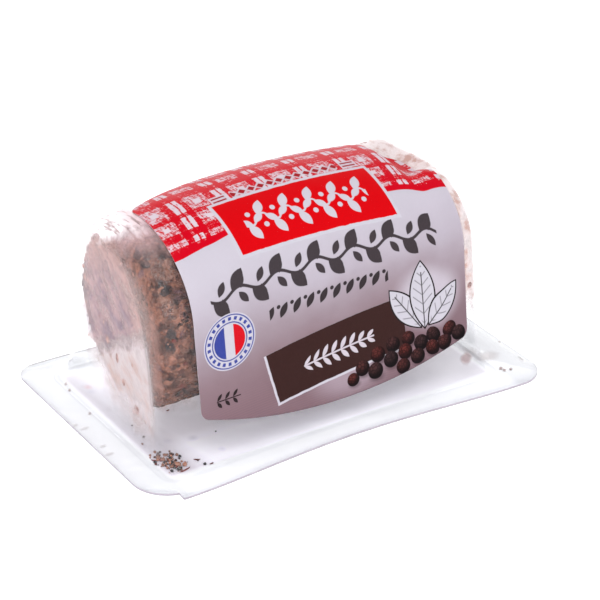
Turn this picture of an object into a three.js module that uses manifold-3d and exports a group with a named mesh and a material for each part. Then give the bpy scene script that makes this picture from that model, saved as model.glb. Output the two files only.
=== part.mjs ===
// A small log of fresh goat cheese rolled in crushed pepper, sealed in a clear moulded dome on a white film,
// with a paper label wrapped over the dome.
// X runs along the log, -Y is the front, and the pack rests on Z = 0. The origin is the middle of the
// underside.
// Sizes are in millimetres and angles in radians.

import * as THREE from "three";
import { mergeVertices } from "three/addons/utils/BufferGeometryUtils.js";
import Module from "manifold-3d";

// The pack's outline, cut through the flange and the film in one stroke.
const packLength = 100;
const packWidth = 66;
const frontLeftRadius = 8.5;
const frontRightRadius = 7;
const backRadius = 5;
const sideWaist = 2.4; // how far the middle of a long side lies inside its ends
const nickDepth = 2.0; // the step at the front left corner, where two cuts don't quite meet

// The sheets that the pack is made of, and the clearances between neighbouring pieces.
const filmThickness = 0.15;
const plasticThickness = 0.32;
const labelThickness = 0.12;
const filmClearance = 0.03;
const labelClearance = 0.1;

// The dome, a loaf shape: leaning walls under a round arch, with a ridge that is highest at mid-length.
const domeCentreX = -1.5; // the right end of the flange is wider, to peel the pack open by
const ridgeHeight = 49.9;
const ridgeCrown = 3.95; // how much lower the ridge is at the ends than in the middle
const ridgeHalfLength = 39.55;
const endLean = 1.0; // how far the foot of an end wall stands out from its top
const springHeight = 30.2; // where the walls turn into the arch
const springHalfWidth = 20.95;
const footHalfWidth = 24.6;
const endRounding = 7.5; // reach of the rounding between the end walls and the rest
const endRoundingAtFoot = 4.0;
const endSoftness = 3.3; // 2 is a circle, more is squarer
const footFilletWidth = 1.1;
const footFilletHeight = 1.8;
const nearFootHeight = 7.2; // above the flange, where the walls take on the foot's own outline
const footWaist = 1.3; // how much narrower the foot is in the middle than at its ends

// The dent pressed into the ridge near the right end, with the hump it pushed up behind it.
// The label and the cheese follow both.
const dentX = 31.4;
const dentY = 0.5;
const dentSkew = 0.45; // how much nearer to the front the dent's middle lies for each step to the left
const dentDepth = 5.0;
const dentReachLeft = 5.0;
const dentReachRight = 4.5;
const dentReachFront = 7.2;
const dentReachBack = 8.8;
const humpX = 33.4;
const humpY = 12.2;
const humpHeight = 1.9;
const humpReachX = 4.6;
const humpReachY = 3.6;

// The label, cut with curved edges and laid over the dome's front and top.
const labelLeftX = -33.9;
const labelRightX = 33.7;
const labelLowestZ = 5.3; // at mid-length
const labelEdgeRise = 5.6; // how much higher the lower edge is at the two ends
const labelCornerRadius = 1.6;
const labelBackY = 11.4; // of the back edge at mid-length, just behind the ridge
const labelBackRise = 6.6; // how much nearer to the ridge the back edge is at the two ends

// The cheese: a round log with soft edges, pressed up into the dome.
const logRadius = 20.0;
const logHalfLength = 38.2;
const logAxisHeight = 25.4;
const logEdgeRadius = 4.5;
const logCrown = 0.9; // how much further the log's middle reaches up than its ends
const logLumpHeight = 0.22;
const logDentShare = 1.12; // the soft cheese gives way a little further than the plastic over it

// The largest pieces of crushed pepper, half sunk in the cheese.
const sideGrainCount = 228;
const endGrainCount = 28;
const grainLeastRadius = 0.65;
const grainMostRadius = 1.15;
const grainStandOut = 0.34; // how far a grain's crown may stand out of the cheese

// How finely the curved pieces are divided. The arch is divided finest at the dent.
const archDegrees = [
  0, 13, 26, 38, 49, 57, 63, 69, 75, 81, 88, 95, 102, 109, 116, 123, 131, 142, 154, 167, 180,
];
const cornerSteps = 8;
const labelEdgeSteps = 14;
const waistSteps = 14;
const wideStep = 7;
const closeStep = 1.6;
const logSides = 36;

const flangeBottom = filmThickness + filmClearance;
const flangeTop = flangeBottom + plasticThickness;

const wasm = await Module();
wasm.setup();

function solidFromGeometry(geometry) {
  geometry.deleteAttribute("normal");
  geometry.deleteAttribute("uv");
  const merged = mergeVertices(geometry, 1e-4);
  return new wasm.Manifold(
    new wasm.Mesh({
      numProp: 3,
      vertProperties: new Float32Array(merged.attributes.position.array),
      triVerts: new Uint32Array(merged.index.array),
    }),
  );
}

function geometryFromSolid(solid) {
  const mesh = solid.getMesh();
  const geometry = new THREE.BufferGeometry();
  geometry.setAttribute("position", new THREE.BufferAttribute(mesh.vertProperties, mesh.numProp));
  geometry.setIndex(new THREE.BufferAttribute(mesh.triVerts, 1));
  geometry.computeVertexNormals();
  return geometry;
}

// A closed body through rings with equal numbers of points. Seen along the way from the first ring to the
// last, the points of a ring run anticlockwise. Strips from one side of a ring to the other close both ends,
// so the first point of a ring and its last are neighbours across the strip.
function loftedBody(rings) {
  const count = rings[0].length;
  const lastRing = (rings.length - 1) * count;
  const faces = [];
  for (let ring = 0; ring + 1 < rings.length; ring += 1) {
    for (let k = 0; k < count; k += 1) {
      const a = ring * count + k;
      const b = ring * count + ((k + 1) % count);
      faces.push(a, a + count, b);
      faces.push(b, a + count, b + count);
    }
  }
  for (let k = 0; k + 1 <= count - 2 - k; k += 1) {
    const across = count - 1 - k;
    faces.push(k, k + 1, across);
    faces.push(lastRing + k, lastRing + across, lastRing + k + 1);
    if (k + 1 < across - 1) {
      faces.push(k + 1, across - 1, across);
      faces.push(lastRing + k + 1, lastRing + across, lastRing + across - 1);
    }
  }
  const geometry = new THREE.BufferGeometry().setFromPoints(rings.flat());
  geometry.setIndex(faces);
  return geometry;
}

// Repeatable random numbers from 0 to 1.
function seededRandom(seed) {
  let state = seed;
  return () => {
    state = (state + 0x6d2b79f5) | 0;
    let t = Math.imul(state ^ (state >>> 15), 1 | state);
    t = (t + Math.imul(t ^ (t >>> 7), 61 | t)) ^ t;
    return ((t ^ (t >>> 14)) >>> 0) / 4294967296;
  };
}

// A quarter round of the outline, or the first part of one, anticlockwise from above.
function cornerPoints(centreX, centreY, radius, startDegrees, endDegrees = startDegrees + 90) {
  const points = [];
  for (let k = 0; k <= cornerSteps; k += 1) {
    const angle = THREE.MathUtils.degToRad(THREE.MathUtils.lerp(startDegrees, endDegrees, k / cornerSteps));
    points.push(new THREE.Vector2(centreX + radius * Math.cos(angle), centreY + radius * Math.sin(angle)));
  }
  return points;
}

// A long side from one x to another, drawn in at the middle.
function waistPoints(fromX, toX, side) {
  const points = [];
  for (let k = 1; k < waistSteps; k += 1) {
    const x = THREE.MathUtils.lerp(fromX, toX, k / waistSteps);
    const fromMiddle = (2 * x) / (packLength - frontLeftRadius - frontRightRadius);
    const drawnIn = sideWaist * Math.max(0, 1 - fromMiddle * fromMiddle) ** 2;
    points.push(new THREE.Vector2(x, side * (packWidth / 2 - drawnIn)));
  }
  return points;
}

// The outline of the flange and the film. The front left corner stops short of the front edge,
// which starts a step further out.
function packOutline() {
  const x = packLength / 2;
  const y = packWidth / 2;
  const frontLeftX = frontLeftRadius - x;
  const frontLeftY = frontLeftRadius + nickDepth - y;
  const frontLeftEnd = 255;
  const nickX = frontLeftX + frontLeftRadius * Math.cos(THREE.MathUtils.degToRad(frontLeftEnd));
  return [
    ...cornerPoints(x - backRadius, y - backRadius, backRadius, 0),
    ...waistPoints(x - backRadius, backRadius - x, 1),
    ...cornerPoints(backRadius - x, y - backRadius, backRadius, 90),
    ...cornerPoints(frontLeftX, frontLeftY, frontLeftRadius, 180, frontLeftEnd),
    new THREE.Vector2(nickX - 0.2, -y + 0.15),
    new THREE.Vector2(nickX + 0.3, -y),
    ...waistPoints(nickX + 0.3, x - frontRightRadius, -1),
    ...cornerPoints(x - frontRightRadius, frontRightRadius - y, frontRightRadius, 270),
  ];
}

function packSheet(bottom, thickness) {
  const geometry = new THREE.ExtrudeGeometry(new THREE.Shape(packOutline()), {
    depth: thickness,
    bevelEnabled: false,
  });
  geometry.translate(0, 0, bottom);
  return geometry;
}

// How far the surface draws in at a distance from the end: a soft, squarish quarter round.
function drawnInNearEnd(distance, reach) {
  const inside = Math.max(0, 1 - distance / reach);
  return reach * (1 - Math.pow(1 - Math.pow(inside, endSoftness), 1 / endSoftness));
}

// How far the dent and the hump behind it change the height of the top at a place: down is negative.
function topChange(x, y) {
  const fromMiddleX = x - dentX;
  const fromMiddleY = y - dentY - dentSkew * Math.min(0, fromMiddleX);
  const dentU = Math.abs(fromMiddleX) / (fromMiddleX < 0 ? dentReachLeft : dentReachRight);
  const dentV = Math.abs(fromMiddleY) / (fromMiddleY < 0 ? dentReachFront : dentReachBack);
  const dent = dentDepth * Math.exp(-((dentU ** 4 + dentV ** 4) ** 0.75));
  const hump = humpHeight * Math.exp(-(((x - humpX) / humpReachX) ** 2) - ((y - humpY) / humpReachY) ** 2);
  return hump - dent;
}

// How far the foot of the dome flares out into the flange at a height.
function footFlare(z) {
  const up = THREE.MathUtils.clamp((z - flangeTop) / footFilletHeight, 0, 1);
  const left = 1 - up;
  return footFilletWidth * (1 - Math.sqrt(1 - left * left));
}

// A point of the dome's outer face, or of a face that lies `outward` outside it.
// `station` is the distance along X from the dome's middle, measured at the ridge.
function domePoint(station, y, z) {
  const reach = ridgeHalfLength + endLean * (1 - z / ridgeHeight) + footFlare(z);
  return new THREE.Vector3(domeCentreX + (station * reach) / ridgeHalfLength, y, z);
}

// How much a height belongs to the foot: 1 at the flange, 0 from `nearFootHeight` up.
function footShare(z) {
  return THREE.MathUtils.clamp(1 - (z - flangeTop) / nearFootHeight, 0, 1);
}

// One wall at the given heights, from the bottom up, at the front (-1) or the back (1).
function wallPoints(station, outward, heights, side) {
  const fromEnd = ridgeHalfLength - Math.abs(station);
  const fromMiddle = station / ridgeHalfLength;
  return heights.map((z) => {
    const reach = THREE.MathUtils.lerp(endRounding, endRoundingAtFoot, footShare(z));
    const lean = (footHalfWidth - springHalfWidth) * (1 - z / springHeight);
    const waist = footWaist * footShare(z) * (fromMiddle * fromMiddle - 0.5);
    const halfWidth = springHalfWidth + lean + waist + footFlare(z) - drawnInNearEnd(fromEnd, reach);
    return domePoint(station, side * (halfWidth + outward), z);
  });
}

function archPoints(station, outward) {
  const drawnIn = drawnInNearEnd(ridgeHalfLength - Math.abs(station), endRounding);
  const crown = ridgeCrown * (station / ridgeHalfLength) ** 2;
  const halfWidth = springHalfWidth - drawnIn + outward;
  const rise = ridgeHeight - crown - drawnIn - springHeight + outward;
  return archDegrees.map((degrees) => {
    const angle = THREE.MathUtils.degToRad(degrees);
    const y = -halfWidth * Math.cos(angle);
    const point = domePoint(station, y, springHeight + rise * Math.sin(angle));
    point.z += topChange(point.x, y) * Math.sin(angle);
    return point;
  });
}

// A whole cross-section of the loaf, from the front foot over the ridge to the back foot.
function loafSection(station, outward, heights) {
  const front = wallPoints(station, outward, heights, -1);
  const back = wallPoints(station, outward, heights, 1).reverse();
  return [...front, ...archPoints(station, outward), ...back];
}

// Cross-sections between two others, wide apart on the left and close together from the dent on.
function stationsBetween(first, last) {
  const dentStart = dentX - domeCentreX - 1.4 * dentReachLeft;
  const wideCount = Math.ceil((dentStart - first) / wideStep);
  const closeCount = Math.ceil((last - dentStart) / closeStep);
  const stations = [];
  for (let k = 1; k < wideCount; k += 1) {
    stations.push(THREE.MathUtils.lerp(first, dentStart, k / wideCount));
  }
  for (let k = 0; k < closeCount; k += 1) {
    stations.push(THREE.MathUtils.lerp(dentStart, last, k / closeCount));
  }
  return stations;
}

// Where the loaf's cross-sections lie. They are closest in its rounded ends.
function loafStations() {
  const fromEnds = [0, 0.04, 0.13, 0.28, 0.5, 1].map((share) => share * endRounding);
  const left = fromEnds.map((distance) => distance - ridgeHalfLength);
  const right = fromEnds.slice(0, -2).map((distance) => ridgeHalfLength - distance);
  return [...left, ...stationsBetween(left.at(-1), right.at(-1)), ...right.reverse()];
}

// The loaf as a closed solid whose faces lie `outward` outside the dome's outer face.
function loafSolid(outward, bottom) {
  const filletHeights = [0, 0.22, 0.55, 1].map((share) => flangeTop + share * footFilletHeight);
  const heights = [bottom, ...filletHeights, flangeTop + nearFootHeight];
  const halfLength = ridgeHalfLength + outward;
  const stretch = halfLength / ridgeHalfLength;
  const rings = loafStations().map((station) => {
    const ring = loafSection(station, outward, heights);
    ring.forEach((point) => (point.x = domeCentreX + (point.x - domeCentreX) * stretch));
    return ring;
  });
  return solidFromGeometry(loftedBody(rings));
}

function clearDome() {
  const belowEverything = -1;
  const outside = loafSolid(0, flangeBottom);
  const inside = loafSolid(-plasticThickness, belowEverything);
  const flange = solidFromGeometry(packSheet(flangeBottom, plasticThickness));
  return geometryFromSolid(outside.add(flange).subtract(inside));
}

// One curved edge of the label from left to right: x, and how far the edge has drawn in from its middle.
// It ends in rounded corners.
function labelEdge(rise) {
  const middle = (labelLeftX + labelRightX) / 2;
  const half = (labelRightX - labelLeftX) / 2;
  const inner = half - labelCornerRadius;
  const shares = [1, 0.9, 0.7, 0.4];
  const offsets = shares.map((share) => inner + share * labelCornerRadius);
  for (let k = 0; k <= labelEdgeSteps; k += 1) {
    offsets.push(inner * (1 - (2 * k) / labelEdgeSteps));
  }
  offsets.push(...shares.map((share) => -inner - share * labelCornerRadius).reverse());
  return offsets.reverse().map((offset) => {
    const intoCorner = Math.max(0, Math.abs(offset) - inner);
    const corner = labelCornerRadius - Math.sqrt(Math.max(0, labelCornerRadius ** 2 - intoCorner ** 2));
    return new THREE.Vector2(middle + offset, rise * (offset / half) ** 2 + corner);
  });
}

// The label is a thin sheet all round the dome, cut from the front to its lower edge and from above to its
// back edge.
function label() {
  const outside = loafSolid(labelClearance + labelThickness, flangeTop);
  const sheet = outside.subtract(loafSolid(labelClearance, -1));
  const fromFront = labelEdge(labelEdgeRise).map((point) => {
    return new THREE.Vector2(point.x, labelLowestZ + point.y);
  });
  fromFront.push(new THREE.Vector2(labelRightX, packLength), new THREE.Vector2(labelLeftX, packLength));
  const fromAbove = labelEdge(labelBackRise).map((point) => {
    return new THREE.Vector2(point.x, labelBackY - point.y);
  });
  fromAbove.push(new THREE.Vector2(labelRightX, -packWidth), new THREE.Vector2(labelLeftX, -packWidth));
  const through = { depth: packLength, bevelEnabled: false };
  const frontCut = new THREE.ExtrudeGeometry(new THREE.Shape(fromFront), through);
  frontCut.rotateX(Math.PI / 2).translate(0, packLength / 2, 0);
  const aboveCut = new THREE.ExtrudeGeometry(new THREE.Shape(fromAbove), through);
  const frontTrimmed = sheet.intersect(solidFromGeometry(frontCut));
  return geometryFromSolid(frontTrimmed.intersect(solidFromGeometry(aboveCut)));
}

// Slow lumps in the hand-formed log, from a few waves that don't repeat along it.
function logLump(x, angle) {
  const longWaves = Math.sin(0.21 * x + 2 * angle) + Math.sin(0.13 * x - 3 * angle + 1.3);
  const shortWave = Math.sin(0.34 * x + 5 * angle);
  return (logLumpHeight * (longWaves + shortWave)) / 3;
}

// The radius of the log at a distance along X from its middle, with soft edges at both ends.
function logRadiusAt(along) {
  const intoEdge = Math.max(0, Math.abs(along) - (logHalfLength - logEdgeRadius));
  const drawnIn = logEdgeRadius - Math.sqrt(Math.max(0, logEdgeRadius ** 2 - intoEdge ** 2));
  return logRadius + (logCrown / 2) * (1 - (along / logHalfLength) ** 2) - drawnIn;
}

function logPoint(along, angle, radius) {
  const axis = logAxisHeight + (logCrown / 2) * (1 - (along / logHalfLength) ** 2);
  const point = new THREE.Vector3(
    domeCentreX + along,
    -radius * Math.cos(angle),
    axis + radius * Math.sin(angle),
  );
  point.z += logDentShare * topChange(point.x, point.y) * Math.max(0, Math.sin(angle));
  return point;
}

function logSolid() {
  const edgeShares = [0, 0.08, 0.3, 0.62, 1];
  const ends = edgeShares.map((share) => logHalfLength - share * logEdgeRadius);
  const left = ends.map((along) => -along);
  const alongs = [...left, ...stationsBetween(left.at(-1), ends.at(-1)), ...ends.reverse()];
  const rings = alongs.map((along) => {
    const ring = [];
    for (let k = 0; k < logSides; k += 1) {
      const angle = (2 * Math.PI * k) / logSides;
      ring.push(logPoint(along, angle, logRadiusAt(along) + logLump(along, angle)));
    }
    return ring;
  });
  return solidFromGeometry(loftedBody(rings));
}

// One piece of crushed pepper: an uneven twenty-sided chip, turned any way.
function grainSolid(place, outward, random) {
  const radius = THREE.MathUtils.lerp(grainLeastRadius, grainMostRadius, random() ** 2);
  const geometry = new THREE.IcosahedronGeometry(radius, 0);
  const stretch = (least, most) => THREE.MathUtils.lerp(least, most, random());
  geometry.scale(stretch(0.9, 1.35), stretch(0.8, 1.1), stretch(0.65, 0.95));
  geometry.applyQuaternion(
    new THREE.Quaternion(random() - 0.5, random() - 0.5, random() - 0.5, random() - 0.5).normalize(),
  );
  geometry.computeBoundingSphere();
  const depth = geometry.boundingSphere.radius - grainStandOut;
  geometry.translate(...place.clone().addScaledVector(outward, -depth).toArray());
  return solidFromGeometry(geometry);
}

// Pepper spread evenly over the log: steps of the golden ratio round it, and along it or out from its axis.
function pepperedLog() {
  const random = seededRandom(11);
  const goldenRatio = (1 + Math.sqrt(5)) / 2;
  let solid = logSolid();
  for (let k = 0; k < sideGrainCount; k += 1) {
    const share = (k + 0.2 + 0.6 * random()) / sideGrainCount;
    const along = (2 * share - 1) * (logHalfLength - logEdgeRadius);
    const angle = 2 * Math.PI * (k / goldenRatio + 0.04 * random());
    const surface = logPoint(along, angle, logRadiusAt(along) + logLump(along, angle));
    const outward = new THREE.Vector3(0, -Math.cos(angle), Math.sin(angle));
    const pressedIn = surface.z > logAxisHeight && topChange(surface.x, surface.y) < -grainStandOut;
    if (!pressedIn) {
      solid = solid.add(grainSolid(surface, outward, random));
    }
  }
  for (const side of [-1, 1]) {
    for (let k = 0; k < endGrainCount; k += 1) {
      const fromAxis = (logRadius - logEdgeRadius) * Math.sqrt((k + 0.5) / endGrainCount);
      const angle = 2 * Math.PI * (k / goldenRatio + 0.04 * random());
      const surface = logPoint(side * logHalfLength, angle, fromAxis);
      solid = solid.add(grainSolid(surface, new THREE.Vector3(side, 0, 0), random));
    }
  }
  return geometryFromSolid(solid);
}

function piece(name, geometry, material) {
  const mesh = new THREE.Mesh(geometry, material);
  mesh.name = name;
  return mesh;
}

const filmMaterial = new THREE.MeshStandardMaterial({ color: 0xe6e3ea, roughness: 0.35, metalness: 0 });
const plasticMaterial = new THREE.MeshStandardMaterial({
  color: 0xf7f8fa,
  roughness: 0.06,
  metalness: 0,
  transparent: true,
  opacity: 0.25,
});
const paperMaterial = new THREE.MeshStandardMaterial({ color: 0xd8cfdd, roughness: 0.5, metalness: 0 });
const cheeseMaterial = new THREE.MeshStandardMaterial({ color: 0xb9987f, roughness: 0.75, metalness: 0 });

const pack = new THREE.Group();
pack.add(piece("base_film", geometryFromSolid(solidFromGeometry(packSheet(0, filmThickness))), filmMaterial));
pack.add(piece("clear_dome", clearDome(), plasticMaterial));
pack.add(piece("label", label(), paperMaterial));
pack.add(piece("cheese_log", pepperedLog(), cheeseMaterial));

export default pack;
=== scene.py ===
import math
import random

import bpy
import numpy as np
from mathutils import Matrix, Vector, geometry, noise


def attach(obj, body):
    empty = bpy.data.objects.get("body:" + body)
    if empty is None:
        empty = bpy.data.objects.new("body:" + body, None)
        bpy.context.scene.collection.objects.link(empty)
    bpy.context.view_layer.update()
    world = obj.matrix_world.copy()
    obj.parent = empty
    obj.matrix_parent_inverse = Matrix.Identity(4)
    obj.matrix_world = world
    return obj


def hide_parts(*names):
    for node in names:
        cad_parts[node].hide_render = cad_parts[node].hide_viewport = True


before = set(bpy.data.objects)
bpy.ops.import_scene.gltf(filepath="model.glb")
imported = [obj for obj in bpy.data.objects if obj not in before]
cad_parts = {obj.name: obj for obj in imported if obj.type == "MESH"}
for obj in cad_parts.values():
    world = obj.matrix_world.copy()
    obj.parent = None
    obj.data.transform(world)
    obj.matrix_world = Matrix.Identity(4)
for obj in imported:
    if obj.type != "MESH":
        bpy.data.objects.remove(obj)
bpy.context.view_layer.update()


# The studio: a plain white table in a white tent, under one large overhead softbox, with a low softbox
# behind the pack and a wide fill at the front. The camera looks down on the front left corner through a
# long lens.
table_width = 3.0
camera_place = Vector((-0.22551, -0.36109, 0.24447))
camera_right = Vector((0.8429, -0.5380, 0.0)).normalized()
camera_back = Vector((-0.4753, -0.7446, 0.4687)).normalized()
camera_lens = 132

camera = bpy.data.objects.new("camera", bpy.data.cameras.new("camera"))
camera.data.lens = camera_lens
camera.data.sensor_width = 36
camera.data.clip_start = 0.01
camera.data.clip_end = 20
camera_up = camera_back.cross(camera_right)
camera.matrix_world = Matrix.Translation(camera_place) @ Matrix(
    (camera_right, camera_up, camera_back)
).transposed().to_4x4()
bpy.context.collection.objects.link(camera)
bpy.context.scene.camera = camera
bpy.context.scene.view_settings.view_transform = "Standard"


def softbox(name, direction, distance, width, height, power):
    """A soft area light that hangs in one direction from the pack and faces it."""
    light = bpy.data.lights.new(name, "AREA")
    light.shape = "RECTANGLE"
    light.size = width
    light.size_y = height
    light.energy = power
    lamp = bpy.data.objects.new(name, light)
    away = Vector(direction).normalized()
    lamp.location = away * distance
    lamp.rotation_mode = "QUATERNION"
    lamp.rotation_quaternion = away.to_track_quat("Z", "Y")
    bpy.context.collection.objects.link(lamp)


softbox("overhead_softbox", (-0.30, -0.10, 0.95), 1.1, 1.3, 0.9, 10)
softbox("back_softbox", (0.47, 0.85, 0.30), 1.4, 1.4, 0.5, 2.5)
softbox("front_fill", (-0.5, -0.8, 0.36), 1.6, 1.6, 0.8, 13)


def maths(operation, swapped=False):
    """A method that feeds a level and its other values into a Math node."""

    def method(level, *others):
        values = [*others, level] if swapped else [level, *others]
        return level.finish.add("ShaderNodeMath", {"operation": operation}, values)

    return method


class Level:
    """One value of a finish, such as a mask or a colour. Sums, products and so on add Math nodes."""

    def __init__(self, finish, socket):
        self.finish = finish
        self.socket = socket

    __add__ = __radd__ = maths("ADD")
    __mul__ = __rmul__ = maths("MULTIPLY")
    __sub__ = maths("SUBTRACT")
    __rsub__ = maths("SUBTRACT", swapped=True)
    __truediv__ = maths("DIVIDE")
    __rtruediv__ = maths("DIVIDE", swapped=True)
    __pow__ = maths("POWER")
    __mod__ = maths("FLOORED_MODULO")
    __gt__ = maths("GREATER_THAN")
    __abs__ = maths("ABSOLUTE")
    sine = maths("SINE")
    least = maths("MINIMUM")
    most = maths("MAXIMUM")

    def rise(self, low, high, kind="LINEAR"):
        """0 below low, 1 above high, and a straight way between. With low above high it falls."""
        sockets = {0: self, 1: low, 2: high, 3: 0, 4: 1}
        return self.finish.add("ShaderNodeMapRange", {"interpolation_type": kind}, sockets)

    def ease(self, low, high):
        """As rise, but with soft ends."""
        return self.rise(low, high, "SMOOTHSTEP")

    def edge(self, soft=0.06):
        """1 inside a shape and 0 outside, from how far inside a place lies. A soft below 0 turns it round."""
        return self.rise(-soft, soft)

    def blend(self, under, over):
        """A colour between two others, with this level as the share of the upper one."""
        return self.finish.add("ShaderNodeMix", {"data_type": "RGBA"}, {0: self, 6: under, 7: over}, 2)

    def tint(self, colour):
        """A colour made darker or lighter by this level."""
        return self.finish.add("ShaderNodeVectorMath", {"operation": "SCALE"}, {0: colour, "Scale": self})

    def ramp(self, *stops):
        """A colour that changes with this level. Each stop is a position and the srgb values there."""
        return self.finish.add("ShaderNodeValToRGB", {"stops": stops}, [self])


class Finish:
    """The node tree of one material. Every node comes from add."""

    def __init__(self, name):
        self.material = bpy.data.materials.new(name)
        self.material.use_nodes = True
        self.tree = self.material.node_tree
        self.tree.nodes.clear()

    def add(self, kind, settings, inputs, output=0):
        """Adds a node: its settings first, then the values or links of its sockets. A colour of three
        numbers is in srgb values, 0 to 255."""
        node = self.tree.nodes.new(kind)
        for setting, value in settings.items():
            if setting == "stops":
                self.set_stops(node.color_ramp, value)
            else:
                setattr(node, setting, value)
        pairs = inputs.items() if isinstance(inputs, dict) else enumerate(inputs)
        for key, value in pairs:
            if isinstance(value, Level):
                self.tree.links.new(value.socket, node.inputs[key])
            elif node.inputs[key].type == "RGBA" and len(value) == 3:
                node.inputs[key].default_value = srgb(*value)
            else:
                node.inputs[key].default_value = value
        if node.outputs:
            return Level(self, node.outputs[output])

    def set_stops(self, ramp, stops):
        while len(ramp.elements) < len(stops):
            ramp.elements.new(1.0)
        for element, (position, *colour) in zip(ramp.elements, stops):
            element.position = position
            element.color = srgb(*colour)

    def place(self):
        """The place on the object, in metres."""
        return self.add("ShaderNodeTexCoord", {}, {}, "Object")

    def axis(self, name):
        """One coordinate of the place, in millimetres."""
        return self.add("ShaderNodeSeparateXYZ", {}, [self.place()], name) * 1000

    def carried(self, name):
        """A value that the mesh carries at each vertex."""
        return self.add("ShaderNodeAttribute", {"attribute_name": name}, {}, "Fac")

    def noise(self, scale, detail=3.0, roughness=0.55, place=None):
        """Cloudy noise from 0 to 1 around 0.5. The scale is in waves a metre."""
        sockets = {"Vector": place or self.place(), "Scale": scale, "Detail": detail, "Roughness": roughness}
        return self.add("ShaderNodeTexNoise", {}, sockets)

    def stretched(self, turn, scale):
        """The place, turned by angles in radians and then stretched along its axes."""
        sockets = {"Vector": self.place(), "Rotation": turn, "Scale": scale}
        return self.add("ShaderNodeMapping", {"vector_type": "TEXTURE"}, sockets)

    def bump(self, height, distance):
        """Relief from a height, over a distance in metres."""
        return self.add("ShaderNodeBump", {}, {"Height": height, "Distance": distance})

    def coat(self, colour, roughness, normal, others=()):
        """An opaque surface. Others are further sockets and their values."""
        sockets = {"Base Color": colour, "Roughness": roughness, "Normal": normal, **dict(others)}
        return self.add("ShaderNodeBsdfPrincipled", {}, sockets)

    def mix(self, share, under, over):
        """One surface over another, by a share."""
        return self.add("ShaderNodeMixShader", {}, {0: share, 1: under, 2: over})

    def show(self, shader):
        self.add("ShaderNodeOutputMaterial", {}, {"Surface": shader})
        return self.material


def srgb(red, green, blue):
    """A colour as a paint chart gives it, 0 to 255, turned into the light it sends back."""
    share = [c / 255 for c in (red, green, blue)]
    return tuple(c / 12.92 if c < 0.04045 else ((c + 0.055) / 1.055) ** 2.4 for c in share) + (1.0,)


def piece_from(name, points, faces, materials, smooth=True, carried=None):
    """An object from points in millimetres. What it carries are values at each point."""
    mesh = bpy.data.meshes.new(name)
    mesh.from_pydata((np.asarray(points) * 0.001).tolist(), [], faces)
    mesh.validate()
    for key, values in (carried or {}).items():
        mesh.attributes.new(key, "FLOAT", "POINT").data.foreach_set("value", np.asarray(values, np.float32))
    for material in materials:
        mesh.materials.append(material)
    if smooth:
        mesh.shade_smooth()
    else:
        mesh.shade_flat()
    made = bpy.data.objects.new(name, mesh)
    bpy.context.collection.objects.link(made)
    return made


paper_table = Finish("white_table")
table_white = paper_table.add(
    "ShaderNodeBsdfPrincipled",
    {},
    {
        "Base Color": paper_table.noise(6).blend((244, 244, 245), (249, 249, 249)),
        "Roughness": 0.6,
        "Emission Color": (1.0, 1.0, 1.0, 1.0),
        "Emission Strength": 0.3,
    },
)
half = table_width * 500
table = piece_from(
    "table",
    [(-half, -half, 0), (half, -half, 0), (half, half, 0), (-half, half, 0)],
    [(0, 1, 2, 3)],
    [paper_table.show(table_white)],
)
table.location.z = -0.0002

world = bpy.data.worlds.new("studio")
world.use_nodes = True
sky = world.node_tree.nodes
sky_ramp = sky.new("ShaderNodeValToRGB")
sky_ramp.color_ramp.elements[0].position = 0.3
sky_ramp.color_ramp.elements[0].color = (0.97, 0.98, 1.0, 1.0)
sky_ramp.color_ramp.elements[1].position = 0.85
sky_ramp.color_ramp.elements[1].color = (0.44, 0.45, 0.46, 1.0)
sky_height = sky.new("ShaderNodeSeparateXYZ")
world.node_tree.links.new(sky.new("ShaderNodeTexCoord").outputs["Generated"], sky_height.inputs[0])
world.node_tree.links.new(sky_height.outputs["Z"], sky_ramp.inputs[0])
world.node_tree.links.new(sky_ramp.outputs[0], sky["Background"].inputs["Color"])
sky["Background"].inputs["Strength"].default_value = 1.5
bpy.context.scene.world = world


# The dome: one clear sheet, 0.32 mm thick, drawn by heat and vacuum into a loaf shape with leaning walls,
# a flared foot and a flat flange. Its crown was knocked in near the right end. Cheese has smeared its inside.
pack_length = 100.0
pack_width = 66.0
front_left_radius = 8.5
front_right_radius = 7.0
back_radius = 5.0
side_waist = 2.4
nick_depth = 2.0
film_thickness = 0.15
plastic_thickness = 0.32
flange_top = 0.50
dome_middle_x = -1.5
ridge_height = 49.9
ridge_crown = 3.95
ridge_half_length = 39.55
end_lean = 1.0
spring_height = 30.2
spring_half_width = 20.95
foot_half_width = 24.6
end_rounding = 7.5
end_rounding_at_foot = 4.0
end_softness = 3.3
foot_fillet_width = 1.1
foot_fillet_height = 1.8
near_foot_height = 7.2
foot_waist = 1.3
crease_rounds = 4
crease_reach = 4.5
bead_distances = (0.7, 0.95, 1.2)
bead_lift = (0.0, 0.09, 0.0)
dent_x = 31.4
dent_y = 0.5
dent_depth = 5.0
dent_skew = 0.45
dent_reach_x = (5.0, 4.5)  # to its left and to its right
dent_reach_y = (7.2, 8.8)  # to its front and to its back
hump_x = 33.4
hump_y = 12.2
hump_height = 1.9
hump_reach_x = 4.6
hump_reach_y = 3.6


def drawn_in(distance, reach):
    """How far the loaf has drawn in at a distance from its end."""
    inside = np.clip(1 - distance / reach, 0, 1)
    return reach * (1 - (1 - inside**end_softness) ** (1 / end_softness))


def top_change(x, y):
    """The dent near the right end, and the hump behind it."""
    from_x = x - dent_x
    from_y = y - dent_y - dent_skew * np.minimum(0, from_x)
    u = np.abs(from_x) / np.where(from_x < 0, *dent_reach_x)
    v = np.abs(from_y) / np.where(from_y < 0, *dent_reach_y)
    dent = dent_depth * np.exp(-((u**4 + v**4) ** 0.75))
    hump = np.exp(-(((x - hump_x) / hump_reach_x) ** 2) - ((y - hump_y) / hump_reach_y) ** 2)
    return hump_height * hump - dent


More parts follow.
